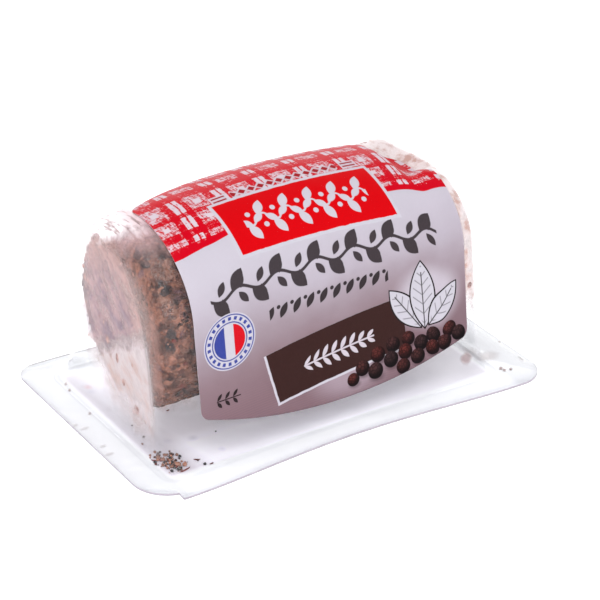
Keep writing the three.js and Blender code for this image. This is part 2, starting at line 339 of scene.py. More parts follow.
def foot_flare(z):
    """How far the foot flares out at a height."""
    left = 1 - np.clip((z - flange_top) / foot_fillet_height, 0, 1)
    return foot_fillet_width * (1 - np.sqrt(np.maximum(0, 1 - left**2)))


def reach_at(z):
    """Half the dome's length at a height."""
    return ridge_half_length + end_lean * (1 - z / ridge_height) + foot_flare(z)


def wall(station, outward, heights, side):
    """Points of one wall. A station is a place along the dome, measured at its ridge."""
    share = np.clip(1 - (heights - flange_top) / near_foot_height, 0, 1)
    reach = end_rounding + (end_rounding_at_foot - end_rounding) * share
    lean = (foot_half_width - spring_half_width) * (1 - heights / spring_height)
    waist = foot_waist * share * ((station / ridge_half_length) ** 2 - 0.5)
    width = spring_half_width + lean + waist + foot_flare(heights)
    width = width - drawn_in(ridge_half_length - np.abs(station), reach) + outward
    x = dome_middle_x + station * reach_at(heights) / ridge_half_length
    return np.stack([x, side * width, heights + 0 * x], -1)


def arch(station, outward, angles):
    """Points of the round top, from the front (0) to the back (pi)."""
    drawn = drawn_in(ridge_half_length - np.abs(station), end_rounding)
    width = spring_half_width - drawn + outward
    rise = ridge_height - ridge_crown * (station / ridge_half_length) ** 2 - drawn - spring_height + outward
    y = -width * np.cos(angles)
    z = spring_height + rise * np.sin(angles)
    x = dome_middle_x + station * reach_at(z) / ridge_half_length
    return np.stack([x, y, z + top_change(x, y) * np.sin(angles)], -1)


def faces_between(low, high, closed=False, turned=False):
    """Four-sided faces between two rows of points, given by number. Closed rows run round."""
    faces = []
    for k in range(len(low) if closed else len(low) - 1):
        following = (k + 1) % len(low)
        face = (low[k], high[k], high[following], low[following])
        faces.append(face[::-1] if turned else face)
    return faces


def grid_faces(row_count, column_count, closed=False):
    """Four-sided faces over rows of points that are numbered one row after the other."""
    rows = np.arange(row_count * column_count).reshape(row_count, column_count).tolist()
    return [face for low, high in zip(rows, rows[1:]) for face in faces_between(low, high, closed)]


# The dome's rows of points lie closer together at its ends and about the dent.
end_steps = np.radians(np.arange(0, 90.1, 7.5))
into_end = end_rounding * (1 - np.cos(end_steps) ** (2 / end_softness))
left_stations = into_end - ridge_half_length
middle_stations = np.concatenate([np.arange(left_stations[-1] + 1.4, 23.5, 1.4), np.arange(24.0, 31.6, 0.55)])
stations = np.concatenate([left_stations, middle_stations, -left_stations[::-1]])
fillet_heights = flange_top + foot_fillet_height * (1 - np.cos(np.radians(np.arange(0, 90.1, 12)))) ** 0.9
wall_heights = np.concatenate([fillet_heights, np.arange(3.2, 29.5, 1.6)])
arch_angles = np.radians(np.arange(0, 180.1, 3))

rows = []
for station in stations:
    front = wall(station, 0, wall_heights, -1)
    back = wall(station, 0, wall_heights, 1)[::-1]
    rows.append(np.concatenate([front, arch(station, 0, arch_angles), back]))
shell = np.array(rows)
for k in range(crease_rounds):  # the wall runs into the arch without a crease
    near_spring = np.abs(shell[0, :, 2] - spring_height) < crease_reach
    near_spring[[0, -1]] = False
    middle = np.nonzero(near_spring)[0]
    shell[:, middle] = (shell[:, middle - 1] + 2 * shell[:, middle] + shell[:, middle + 1]) / 4

row_count, column_count = shell.shape[:2]
dome_points = list(map(tuple, shell.reshape(-1, 3)))
dome_faces = grid_faces(row_count, column_count)

# The flat end walls, in strips across, with narrow columns at the rounded edges.
across_shares = (0.0, 0.02, 0.08, 0.2, 0.35, 0.5, 0.65, 0.8, 0.92, 0.98, 1.0)
end_feet = []
for row, turned in ((0, False), (row_count - 1, True)):
    strips = []
    for j in range(column_count // 2):
        left = row * column_count + j
        right = row * column_count + column_count - 1 - j
        strip = [left]
        for share in across_shares[1:-1]:
            way_across = np.array(dome_points[right]) - np.array(dome_points[left])
            strip.append(len(dome_points))
            dome_points.append(tuple(np.array(dome_points[left]) + way_across * share))
        strip.append(right)
        strips.append(strip)
    for low, high in zip(strips, strips[1:]):
        dome_faces += faces_between(low, high, turned=turned)
    crown = row * column_count + column_count // 2
    for k in range(len(strips[-1]) - 1):
        face = (strips[-1][k], crown, strips[-1][k + 1])
        dome_faces.append(face[::-1] if turned else face)
    end_feet.append(strips[0])

front_feet = [i * column_count for i in range(row_count)]
back_feet = [i * column_count + column_count - 1 for i in range(row_count)]
foot_loop = front_feet[:-1] + end_feet[1][:-1] + back_feet[::-1][:-1] + end_feet[0][::-1][:-1]


def corner(side_x, side_y, radius, start, end, inset=0.0):
    """Points of one round corner of the flange. The inset moves it in from the long side."""
    x = side_x * (half_length - radius)
    y = side_y * (half_width - radius - inset)
    angles = np.radians(np.linspace(start, end, 11))
    return [(x + radius * math.cos(a), y + radius * math.sin(a)) for a in angles]


def long_side(start, end, side):
    """Points of one long side of the flange, which is drawn in at its middle."""
    points = []
    for x in np.linspace(start, end, 40)[1:-1]:
        from_middle = 2 * x / (pack_length - front_left_radius - front_right_radius)
        inward = side_waist * max(0, 1 - from_middle**2) ** 2
        points.append((x, side * (half_width - inward)))
    return points


half_length = pack_length / 2
half_width = pack_width / 2
nick_x = front_left_radius - half_length + front_left_radius * math.cos(math.radians(255))
outline = (
    corner(1, 1, back_radius, 0, 90)
    + long_side(half_length - back_radius, back_radius - half_length, 1)
    + corner(-1, 1, back_radius, 90, 180)
    + corner(-1, -1, front_left_radius, 180, 255, nick_depth)
    + [(nick_x - 0.2, 0.15 - half_width), (nick_x + 0.3, -half_width)]
    + long_side(nick_x + 0.3, half_length - front_right_radius, -1)
    + corner(1, -1, front_right_radius, 270, 360)
)

# The flange is flat, with one fine bead that follows the foot.
foot = np.array([dome_points[k][:2] for k in foot_loop])
ahead = np.roll(foot, -1, 0) - np.roll(foot, 1, 0)
outward_way = np.stack([ahead[:, 1], -ahead[:, 0]], -1) / np.linalg.norm(ahead, axis=1)[:, None]
loops = [foot_loop]
for distance, lift in zip(bead_distances, bead_lift):
    start = len(dome_points)
    dome_points += [(x, y, flange_top + lift) for x, y in foot + outward_way * distance]
    loops.append(list(range(start, start + len(foot))))
for inner, outer in zip(loops, loops[1:]):
    dome_faces += faces_between(inner, outer, closed=True)
edge_start = len(dome_points)
dome_points += [(x, y, flange_top) for x, y in outline]
last_loop = loops[-1]
flat_ids = last_loop + list(range(edge_start, edge_start + len(outline)))
flat_points = [Vector(dome_points[k][:2]) for k in flat_ids]
ring_edges = []
for start, count in ((0, len(last_loop)), (len(last_loop), len(outline))):
    ring_edges += [(start + k, start + (k + 1) % count) for k in range(count)]
found = geometry.delaunay_2d_cdt(flat_points, ring_edges, [], 0, 1e-6)
origin_of = [ids[0] if ids else None for ids in found[3]]
ring = np.array([dome_points[k][:2] for k in last_loop])
rim = np.array(outline)


def inside(point, loop):
    """True if a point lies within a loop."""
    x, y = point
    x0, y0 = loop[:, 0], loop[:, 1]
    x1, y1 = np.roll(x0, -1), np.roll(y0, -1)
    crosses = ((y0 > y) != (y1 > y)) & (x < (x1 - x0) * (y - y0) / np.where(y1 == y0, 1e-9, y1 - y0) + x0)
    return bool(crosses.sum() % 2)


for face in found[2]:
    ids = [flat_ids[origin_of[k]] for k in face]
    centre = np.mean([dome_points[k][:2] for k in ids], axis=0)
    if inside(centre, rim) and not inside(centre, ring):
        dome_faces.append(tuple(ids))

plastic = Finish("clear_plastic")
across, deep, up = plastic.axis("X"), plastic.axis("Y"), plastic.axis("Z")
ripple = plastic.noise(55, 2.0) + plastic.noise(210, 2.0) * 0.12
facing = plastic.add("ShaderNodeLayerWeight", {}, {"Blend": 0.5}, "Facing")
sealed = (up - 0.3).edge(-0.05)  # no air between the flange and the film
mirror_share = (facing**5 * 0.9 + 0.010) * (1 - sealed)
see_through = plastic.add("ShaderNodeBsdfTransparent", {}, {"Color": (0.996, 0.997, 1.0, 1.0)})
gloss = plastic.add(
    "ShaderNodeBsdfAnisotropic",
    {},
    {"Color": (1.0, 1.0, 1.0, 1.0), "Roughness": 0.12, "Normal": plastic.bump(ripple, 0.0009)},
)
# Seen edge-on and at its folds the plastic lets less through: a painted shade that greys its silhouettes and
# folds.
grey_edge_shade = plastic.add("ShaderNodeBsdfTransparent", {}, {"Color": (0.84, 0.84, 0.87, 1.0)})
fold = plastic.carried("fold")
edge_on_shade = (facing**6 * 0.9).most(fold * 0.4)
bare = plastic.mix(mirror_share, plastic.mix(edge_on_shade, see_through, grey_edge_shade), gloss)


def disc(u, v, middle_u, middle_v, wide=1.0, tall=1.0):
    """The distance from a middle, measured in a width and a height."""
    return (((u - middle_u) / wide) ** 2 + ((v - middle_v) / tall) ** 2) ** 0.5


def together(levels):
    """The greatest of some levels."""
    greatest, *others = levels
    for level in others:
        greatest = greatest.most(level)
    return greatest


# Where the cheese touches the left end wall: a pink grey smear, drawn along by the hand that packed it,
# and a whitish film of fat below it.
to_left = dome_middle_x - across
left_end = to_left.rise(38.3, 39.2) * up.rise(1.2, 3.0)
right_end = (across - dome_middle_x).rise(38.9, 39.6) * up.rise(1.2, 3.0)
streaks = plastic.noise(420, 4.0, 0.62, plastic.stretched((0.57, 0, 0), (1.0, 3.2, 1.0)))
smear_edge = plastic.noise(300, 4.0, 0.65)
ragged = (smear_edge - 0.5) * 7.0
smear_level = up + deep * 0.53 + ragged * 1.3
smeared = smear_level.rise(17.6, 22.0)
wiped = disc((0 - deep).most(0), (up - 8).most(0), 0, 0, 15.8, 33)
on_flat = (wiped + ragged * 0.012).rise(1.13, 0.99)
inside_end = (deep + ragged * 0.35).rise(14.6, 9.6) * on_flat
smear = inside_end * smeared * (streaks.rise(0.3, 0.7) * 0.42 + 0.34)
fat_left = (up - deep * 1.08 + ragged * 0.7).rise(-2.0, 12.0)
fat = smear_level.rise(22.4, 17.8) * fat_left * on_flat * (up + ragged * 0.8).rise(2.0, 13.5)
fat = fat * (smear_edge * 0.6 + 0.44)

# The shoulder above is hazed white, with fine arcs wiped into it: partly fat on the inside, partly a painted
# highlight for the softbox's glare. It thins out into a milky veil, a painted reflection of the bright tent
# that lightens the shaded cheese behind. Below that, damp paste and pepper are pressed against the front of
# the plastic.
arcs = plastic.noise(1100, 4.0, 0.6, plastic.stretched((0.25, 0, 0), (1.0, 7.0, 5.0))).rise(0.50, 0.62)
bare_left = to_left.rise(30.5, 32.5)
shoulder_level = up + deep * 0.49 + (streaks - 0.5) * 6.0
shoulder = bare_left * shoulder_level.rise(43.6, 46.0)
shoulder_haze_and_glare = shoulder * (0.86 - arcs * 0.42) * (deep + ragged).rise(19, 8)
veil_level = (shoulder_level + ragged).rise(36.0, 45.0)
veil = bare_left * veil_level * deep.rise(13, 8) * (streaks.rise(0.35, 0.65) * 0.36 + 0.36)
beside_label = to_left.rise(31.5, 33.0)
off_end = 1 - left_end * on_flat
front_strip = beside_label * off_end * (1 - veil_level)
# Near the rounded left corner a tan coat is painted on: painted light that brightens the shaded gap between
# the end wall and the log.
corner_painted_light = (to_left + ragged * 0.1).rise(38.9, 39.5)
pressed_paste_and_corner_light = front_strip * up.rise(13, 18) * (smear_edge.rise(0.4, 0.6) * 0.2 + 0.02 + corner_painted_light * 0.16)

# At the right the plastic is painted pale beige on top, behind the label, and along its rounded front corner:
# a painted highlight for the glare over the cheese seen through.
right_top = across.rise(20, 27) * up.rise(38, 41) * (smear_edge * 0.4 + 0.62)
right_corner = across.rise(33.0, 34.2) * up.rise(15, 22) * deep.rise(4, -2)
right_painted_glare = right_top.most(right_corner * (smear_edge.rise(0.35, 0.6) * 0.4 + 0.5))
right_streaks = right_end * streaks.rise(0.4, 0.7) * up.rise(9, 15) * 0.4
# The smears together, with the painted highlights, painted reflection and painted corner light among them.
smears_and_painted_light = together([left_end * smear.most(fat), shoulder_haze_and_glare, veil, pressed_paste_and_corner_light, right_painted_glare, right_streaks])

# Specks, crumbs and scratches on the flange, the left end wall and the walls: their middles, their sizes
# and how strongly they show.
flange_marks = (
    (43.1, -18.8, 3.2, 2.0, 0.14), (40.9, -15.2, 2.6, 2.6, 0.10), (42.4, -24.9, 0.5, 0.4, 0.75),
    (42.6, -25.9, 0.35, 0.5, 0.6), (44.0, -26.4, 0.4, 0.35, 0.7), (48.7, -24.0, 0.3, 1.1, 0.35),
    (49.3, -15.2, 0.35, 0.45, 0.5), (-49.1, 4.4, 0.7, 0.4, 0.16), (-48.2, 2.2, 1.3, 0.5, 0.12),
    (-48.2, -6.3, 0.8, 0.4, 0.15), (-48.6, -9.8, 1.2, 0.45, 0.12), (-43.4, 18.4, 0.35, 0.45, 0.55),
    (-42.9, 21.2, 0.4, 0.4, 0.4), (-44.3, 7.1, 0.4, 0.35, 0.4),
)
end_marks = (
    (2.3, 20.0, 0.75, 1.0, 0.8), (5.8, 24.0, 0.3, 0.4, 0.9), (3.8, 23.6, 0.3, 0.6, 0.8),
    (11.0, 17.2, 0.45, 0.5, 0.7), (11.8, 15.6, 0.3, 0.25, 0.6), (12.6, 33.0, 0.5, 0.7, 0.9),
    (12.0, 34.6, 0.4, 0.4, 0.85), (12.2, 31.2, 0.3, 0.3, 0.7), (-1.9, 17.6, 0.6, 1.1, 0.3),
    (-4.5, 13.0, 0.7, 0.8, 0.25), (-10.0, 9.0, 1.1, 1.1, 0.2), (-8.5, 19.0, 0.35, 0.5, 0.5),
    (-4.2, 40.6, 0.4, 0.4, 0.9),
)
wall_marks = (
    (33.2, -24.1, 5.2, 1.4, 0.32), (28.0, 11.4, 45.2, 0.7, 0.9), (29.2, 11.2, 45.0, 0.5, 0.8),
    (35.6, -19.8, 27.6, 0.5, 0.6), (35.0, -21.0, 21.8, 0.9, 0.5),
)


def spot(distance, strength):
    """A mark with a ragged edge, from the distance in shares of its size."""
    return (distance + smear_edge * 1.2).rise(1.75, 1.1) * strength


def marks_on(u, v, places):
    """All the marks on one flat face."""
    return together([spot(disc(u, v, *place[:4]), place[4]) for place in places])


marks = marks_on(across, deep, flange_marks) * up.rise(2.5, 1.5)
marks = marks.most(marks_on(deep, up, end_marks) * left_end)
for mark_x, mark_y, mark_z, wide, strength in wall_marks:
    distance = ((across - mark_x) ** 2 + (deep - mark_y) ** 2 + (up - mark_z) ** 2) ** 0.5
    marks = marks.most(spot(distance / wide, strength))
streak_share = (streaks * 0.5 + smear_edge * 0.5).rise(0.44, 0.58)
smear_colour = streak_share.blend((169, 133, 136), (114, 88, 104))
smear_colour = (wiped.rise(0.7, 1.0) * 0.7).blend(smear_colour, (176, 138, 130))
grit_specks = plastic.noise(1300, 2.0).rise(0.59, 0.64) * smear_edge.rise(0.36, 0.52)
smear_colour = (grit_specks * 0.8).blend(smear_colour, (88, 64, 66))
fat_share = (smear_edge * 0.6 + streaks * 0.4).rise(0.5, 0.62)
fat_colour = fat_share.blend((182, 168, 170), (168, 143, 139))
smear_and_light_colour = smeared.blend(fat_colour, smear_colour)
print_of_pepper = plastic.noise(820, 4.0, 0.62) * 0.6 + plastic.noise(270, 3.0, 0.6) * 0.4
paste_and_corner_colour = print_of_pepper.ramp(
    (0.43, 32, 23, 24), (0.47, 66, 41, 38), (0.51, 122, 80, 68), (0.60, 146, 104, 90)
)
paste_and_corner_colour = corner_painted_light.blend(paste_and_corner_colour, (146, 106, 97))
milky = streaks.rise(0.4, 0.6).blend((206, 176, 180), (174, 142, 144))
paste_and_corner_colour = veil_level.blend(paste_and_corner_colour, milky)
smear_and_light_colour = (beside_label * off_end.rise(0.6, 1.0)).blend(smear_and_light_colour, paste_and_corner_colour)
# Towards the left end the haze is painted near white: the painted highlight of the glare.
haze_and_glare_colour = to_left.rise(38.0, 33.0).blend((234, 230, 232), (198, 172, 176))
haze_and_glare_colour = arcs.blend(haze_and_glare_colour, (166, 136, 136))
smear_and_light_colour = shoulder.blend(smear_and_light_colour, haze_and_glare_colour)
beige_share = (smear_edge * 0.7 + print_of_pepper * 0.3).rise(0.47, 0.60)
beige = beige_share.blend((208, 196, 196), (168, 134, 126))
smear_and_light_colour = right_painted_glare.rise(0.0, 0.1).blend(smear_and_light_colour, beige)
mark_colour = smear_edge.rise(0.42, 0.58).blend((112, 66, 60), (166, 128, 122))
smear_and_light_colour = marks.rise(0.0, 0.1).blend(smear_and_light_colour, mark_colour)
smear_and_light_coat = plastic.coat(smear_and_light_colour, 0.35, plastic.bump(streaks, 0.0004))
dome_material = plastic.show(plastic.mix(smears_and_painted_light.most(marks), bare, smear_and_light_coat))
# The cut rim of the sheet is painted grey: a painted shade that draws a thin dark line along the flange's
# edge.
cut_edge = Finish("cut_plastic_edge")
edge_shader = cut_edge.coat(
    cut_edge.noise(400, 3.0).blend((126, 116, 128), (176, 168, 178)),
    0.4,
    cut_edge.bump(cut_edge.noise(1800, 2.0), 0.0001),
)

# Folds are painted darker than flat plastic, a painted shade: the foot a little, and the bead around it more.
fold_shades = np.zeros(len(dome_points))
fold_shades[foot_loop] = 0.5
fold_shades[loops[2]] = 1.0
dome_materials = [dome_material, cut_edge.show(edge_shader)]
dome = piece_from("clear_dome_fine", dome_points, dome_faces, dome_materials, carried={"fold": fold_shades})
thickness = dome.modifiers.new("thickness", "SOLIDIFY")
thickness.thickness = plastic_thickness * 0.001
thickness.offset = -1
thickness.material_offset_rim = 1
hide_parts("clear_dome")
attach(dome, "root")


# The cheese: a hand-rolled log of soft fresh goat cheese, pressed up into the dome so that it takes its dent.
# It is rolled in crushed pepper: black, brown, red and pale chips of all sizes, half sunk in the moist paste.
log_radius = 20.0
log_half_length = 38.2
log_axis_height = 25.4
log_edge_radius = 4.5
log_crown = 0.9
log_lump_height = 0.22
log_dent_share = 1.12
coarse_chips = 1900
coarse_sizes = (0.55, 1.3)
middle_chips = 7600
middle_sizes = (0.26, 0.6)
fine_chips = 17000
fine_sizes = (0.14, 0.32)
clump_height = 0.42
clump_level = 0.9  # the height on a clump, 0 to 1, that lies at the log's own surface
end_ripple = 0.16
chip_stand_out = 0.33
end_chip_share = 0.2
red_chip_share = 0.045
black_chip_share = 0.36
pale_chip = 0.2
brown_chip = 0.4
black_chip = 0.6
red_chip = 0.8
chip_seed = 5

dice = random.Random(chip_seed)


def log_radius_at(along):
    """The log's radius at a place along it, with its rounded edges."""
    into_edge = np.maximum(0, np.abs(along) - (log_half_length - log_edge_radius))
    drawn = log_edge_radius - np.sqrt(np.maximum(0, log_edge_radius**2 - into_edge**2))
    return log_radius + log_crown / 2 * (1 - (along / log_half_length) ** 2) - drawn


def log_lump(along, angle):
    """The gentle lumps that the rolling hand has left."""
    waves = ((0.21, 2, 0.0), (0.13, -3, 1.3), (0.34, 5, 0.0))
    return log_lump_height * sum(np.sin(a * along + b * angle + c) for a, b, c in waves) / 3


def log_place(along, angle, radius):
    """A place on the log. The angle runs from the front over the top."""
    axis = log_axis_height + log_crown / 2 * (1 - (along / log_half_length) ** 2)
    x = dome_middle_x + along + 0 * angle
    y = -radius * np.cos(angle)
    z = axis + radius * np.sin(angle)
    return np.stack([x, y, z + log_dent_share * top_change(x, y) * np.maximum(0, np.sin(angle))], -1)


edge_angles = np.radians(np.arange(0, 90.1, 9))
log_ends = log_half_length - log_edge_radius * (1 - np.sin(edge_angles))
alongs = np.concatenate([-log_ends[::-1], np.arange(-33.2, 33.3, 0.45), log_ends])
turns = np.radians(np.arange(0, 360, 1.5))
log_points = np.array([
    log_place(along, turns, log_radius_at(along) + log_lump(along, turns)) for along in alongs
])


def clump(place):
    """0 in the creases between clumps of paste, and 1 on their tops."""
    near = noise.voronoi(Vector(place) * 0.42)[0]
    small = noise.voronoi(Vector(place) * 1.05)[0]
    return min(1.0, (near[1] - near[0]) * 1.7) * 0.72 + min(1.0, (small[1] - small[0]) * 1.6) * 0.28


clumps = np.array([clump(place) for place in log_points.reshape(-1, 3)]).reshape(log_points.shape[:2])
centre_line = np.array([0, 0, log_axis_height])
outward_from_axis = log_points * [0, 1, 1] - centre_line
outward_from_axis /= np.linalg.norm(outward_from_axis, axis=2)[:, :, None]
log_points = log_points + outward_from_axis * ((clumps - clump_level) * clump_height)[:, :, None]
ring_count, spoke_count = log_points.shape[:2]
cheese_points = list(map(tuple, log_points.reshape(-1, 3)))
clump_tops = list(clumps.reshape(-1))
cheese_faces = grid_faces(ring_count, spoke_count, closed=True)
for ring_index, side in ((0, -1), (ring_count - 1, 1)):
    outer = [ring_index * spoke_count + j for j in range(spoke_count)]
    for radius in np.arange(15.0, 0.5, -0.6):
        start = len(cheese_points)
        for turn in turns:
            x = side * (log_half_length + end_ripple * math.sin(radius * 0.9 + 2 * turn)) + dome_middle_x
            y = -radius * math.cos(turn)
            z = log_axis_height + radius * math.sin(turn)
            raised = clump((x, y, z))
            cheese_points.append((x + side * (raised - clump_level) * clump_height, y, z))
            clump_tops.append(raised)
        inner = list(range(start, start + spoke_count))
        for j in range(spoke_count):
            following = (j + 1) % spoke_count
            face = (outer[j], outer[following], inner[following], inner[j])
            cheese_faces.append(face[::-side])
        outer = inner
    cheese_faces.append(tuple(outer[::-side]))

golden = (1 + 5**0.5) / 2
twenty_corners = np.array([
    (-1, golden, 0), (1, golden, 0), (-1, -golden, 0), (1, -golden, 0), (0, -1, golden), (0, 1, golden),
    (0, -1, -golden), (0, 1, -golden), (golden, 0, -1), (golden, 0, 1), (-golden, 0, -1), (-golden, 0, 1),
])
twenty_sides = (
    (0, 11, 5), (0, 5, 1), (0, 1, 7), (0, 7, 10), (0, 10, 11), (1, 5, 9), (5, 11, 4), (11, 10, 2), (10, 7, 6),
    (7, 1, 8), (3, 9, 4), (3, 4, 2), (3, 2, 6), (3, 6, 8), (3, 8, 9), (4, 9, 5), (2, 4, 11), (6, 2, 10),
    (8, 6, 7), (9, 8, 1),
)
eight_corners = np.array([(1, 0, 0), (-1, 0, 0), (0, 1, 0), (0, -1, 0), (0, 0, 1), (0, 0, -1)], float)
eight_sides = ((0, 2, 4), (2, 1, 4), (1, 3, 4), (3, 0, 4), (2, 0, 5), (1, 2, 5), (3, 1, 5), (0, 3, 5))
icosahedron = ([corner / np.linalg.norm(corner) for corner in twenty_corners], twenty_sides)
octahedron = (list(eight_corners), eight_sides)


def chip(place, outward, sizes, bottom, top, kind, chips, shape):
    """One broken flake of pepper that lies on its broad side. Its top stands out to `top`, or its lowest
    corner lies at `bottom` if that is given."""
    points, faces, shades, kinds = chips
    shape_corners, shape_sides = shape
    across_way = np.cross(outward, [dice.gauss(0, 1), dice.gauss(0, 1), dice.gauss(0, 1)])
    across_way /= np.linalg.norm(across_way)
    lean = outward + across_way * dice.gauss(0, 0.22)
    lean /= np.linalg.norm(lean)
    along_way = np.cross(lean, across_way)
    along_way /= np.linalg.norm(along_way)
    frame_of_chip = np.stack([np.cross(along_way, lean), along_way, lean], 1)
    uneven = [spike * dice.uniform(0.74, 1.12) * sizes for spike in shape_corners]
    corners = np.array(uneven) @ frame_of_chip.T
    heights = corners @ outward
    shift = top - heights.max() if bottom is None else bottom - heights.min()
    corners = corners + place + outward * shift
    start = len(points)
    points.extend(map(tuple, corners))
    faces.extend(tuple(start + k for k in side) for side in shape_sides)
    shades.extend([dice.random()] * len(corners))
    kinds.extend([kind] * len(corners))


def pepper_kind(place):
    """Pale, brown, black or red. The black chips lie in loose clusters."""
    cluster = noise.noise(Vector(place) * 0.23)
    draw = dice.random()
    if draw < red_chip_share:
        return red_chip
    if draw < red_chip_share + max(0.05, black_chip_share + cluster * 2.2):
        return black_chip
    return pale_chip if dice.random() < 0.5 else brown_chip


def scatter(count, least, most, chips, shape):
    """Chips all over the log, some of them on its flat ends."""
    for k in range(count):
        size = least + (most - least) * dice.random() ** 2
        sizes = np.array([dice.uniform(0.8, 1.35), dice.uniform(0.7, 1.1), dice.uniform(0.22, 0.48)]) * size
        if dice.random() < end_chip_share:
            side = dice.choice((-1, 1))
            radius = (log_radius - log_edge_radius) * math.sqrt(dice.random())
            angle = dice.uniform(0, 2 * math.pi)
            x = dome_middle_x + side * log_half_length
            place = np.array([x, -radius * math.cos(angle), log_axis_height + radius * math.sin(angle)])
            outward = np.array([side, 0.0, 0.0])
        else:
            along = dice.uniform(-1, 1) * (log_half_length - 0.6)
            angle = dice.uniform(0, 2 * math.pi)
            radius = log_radius_at(along) + log_lump(along, angle) - 0.1
            place = log_place(np.array(along), np.array(angle), radius)
            into_edge = max(0.0, abs(along) - (log_half_length - log_edge_radius)) / log_edge_radius
            tilt = math.asin(min(1.0, into_edge))
            level = math.cos(tilt)
            outward = np.array([
                math.copysign(math.sin(tilt), along), -math.cos(angle) * level, math.sin(angle) * level,
            ])
        stand_out = min(chip_stand_out, size * dice.uniform(0.2, 0.8))
        chip(place, outward, sizes, None, stand_out, pepper_kind(place), chips, shape)


coarse = ([], [], [], [])
scatter(coarse_chips, *coarse_sizes, coarse, icosahedron)
scatter(middle_chips, *middle_sizes, coarse, icosahedron)
fine_bits = ([], [], [], [])
scatter(fine_chips, *fine_sizes, fine_bits, octahedron)

cheese = Finish("peppered_cheese")
kind = cheese.carried("chip_kind")
shade = cheese.carried("chip_shade")
crease = cheese.carried("clump_top").rise(0.0, 0.7)
cloud = cheese.noise(150, 4.0, 0.6)
grain = cheese.noise(900, 3.0, 0.65)
blotch = cheese.noise(260, 4.0, 0.62)
paste_colour = (blotch * 0.7 + grain * 0.3).ramp(
    (0.36, 36, 20, 18), (0.44, 66, 36, 31), (0.49, 116, 70, 57), (0.56, 178, 119, 96), (0.7, 122, 92, 96)
)
violet_patch = cheese.noise(210, 2.0).rise(0.60, 0.66) * 0.6
paste_colour = violet_patch.blend(paste_colour, (104, 88, 110))
# The creases between clumps are painted darker: painted shade.
paste_colour = (crease * 0.55 + 0.45).tint(paste_colour)
chip_colour = (kind + (grain - 0.5) * 0.12).ramp(
    (0.0, 162, 116, 97), (0.28, 148, 99, 80), (0.32, 84, 47, 40), (0.48, 64, 34, 30),
    (0.52, 28, 23, 26), (0.68, 42, 35, 39), (0.72, 108, 38, 35), (1.0, 128, 48, 42),
)
chip_colour = (shade * 0.8 + 0.5).tint(chip_colour)
is_chip = kind > 0.1
specks = cheese.noise(2600, 2.0).rise(0.60, 0.66)
paste_colour = (specks * 0.75).blend(paste_colour, (74, 56, 54))

# Under the label and low down the coating is painted darker: a painted shadow of the label, and painted shade
# low on the log.
label_shadow_and_low_shade = (abs(cheese.axis("X")) + cloud * 3.0).rise(39.6, 34.5) * cheese.axis("Y").rise(2, -10)
height = cheese.axis("Z")
label_shadow_and_low_shade = label_shadow_and_low_shade.most(height.rise(24, 9) * height.rise(3, 5) * 0.65)
coating = (0.92 - label_shadow_and_low_shade * 0.38).tint(is_chip.blend(paste_colour, chip_colour))
moist = {"Specular IOR Level": 0.4, "Subsurface Weight": 0.04, "Subsurface Scale": 0.0012}
moist["Subsurface Radius"] = (1.0, 0.7, 0.5)
cheese_roughness = (cloud * 0.35 + 0.38).most(is_chip * 0.5)
cheese_bump = cheese.bump(grain + cheese.noise(2200, 2.0) * 0.5, 0.00035)
cheese_material = cheese.show(cheese.coat(coating, cheese_roughness, cheese_bump, moist))
cheese_log = piece_from(
    "cheese_log_peppered", cheese_points, cheese_faces, [cheese_material], carried={"clump_top": clump_tops}
)


def pepper_piece(name, chips):
    points, faces, shades, kinds = chips
    carried = {"chip_kind": kinds, "chip_shade": shades}
    return piece_from(name, points, faces, [cheese_material], smooth=False, carried=carried)


coarse_pepper = pepper_piece("coarse_pepper", coarse)
fine_pepper = pepper_piece("fine_pepper", fine_bits)
for made in (cheese_log, coarse_pepper, fine_pepper):
    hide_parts("cheese_log")
    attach(made, "root")


# Crumbs of the coating that have come off and lie loose on the film, most of them in the front left corner:
# pale and black chips, and thin slivers of red husk. Each crumb has x, y, its size and its kind of chip.
crumb_places = (
    (-41.6, -14.7, 0.35, 0.2), (-40.2, -14.2, 0.45, 0.2), (-39.3, -14.8, 0.4, 0.4), (-39.0, -16.4, 0.5, 0.2),
    (-40.8, -16.6, 0.55, 0.2), (-40.3, -17.9, 0.6, 0.2), (-38.7, -18.0, 0.5, 0.6), (-42.1, -17.7, 0.5, 0.6),
    (-40.5, -19.1, 0.5, 0.6), (-39.3, -19.9, 0.6, 0.6), (-38.6, -21.3, 0.85, 0.2), (-37.4, -22.0, 0.8, 0.2),
    (-39.8, -21.9, 0.4, 0.6), (-39.4, -22.9, 0.65, 0.6), (-38.9, -22.7, 0.55, 0.6), (-38.0, -19.4, 0.4, 0.4),
    (-37.2, -20.4, 0.35, 0.2), (-39.6, -18.6, 0.4, 0.4), (-41.2, -15.9, 0.3, 0.4), (-38.2, -17.0, 0.3, 0.6),
    (-34.7, 3.1, 0.5, 0.2), (-39.2, -7.7, 0.4, 0.6), (-25.1, -13.8, 0.25, 0.6),
    (-33.7, -23.9, 0.4, 0.6), (-39.0, -2.1, 0.3, 0.4), (-40.8, -9.9, 0.3, 0.2), (-34.2, -21.8, 0.3, 0.4),
)
sliver_places = (  # x, y, half the length and the angle
    (-38.1, -23.6, 1.7, 0.25), (-34.2, -21.4, 0.85, -0.6), (-32.3, -24.4, 0.6, 0.2), (-29.8, 2.0, 0.8, -0.2),
    (-29.4, -0.8, 0.5, 0.1), (-41.9, -16.9, 0.8, -0.8),
)
heap_crumbs = 95
heap_x = -39.4
heap_y = -18.4
heap_spread_x = 1.4
heap_spread_y = 2.8
heap_left = -42.4
heap_right = -36.0
heap_front = -23.6
heap_back = -11.0
sliver_width = 0.22
sliver_height = 0.12
sliver_bend = 0.25
sliver_lift = 0.16
crumb_chips = ([], [], [], [])


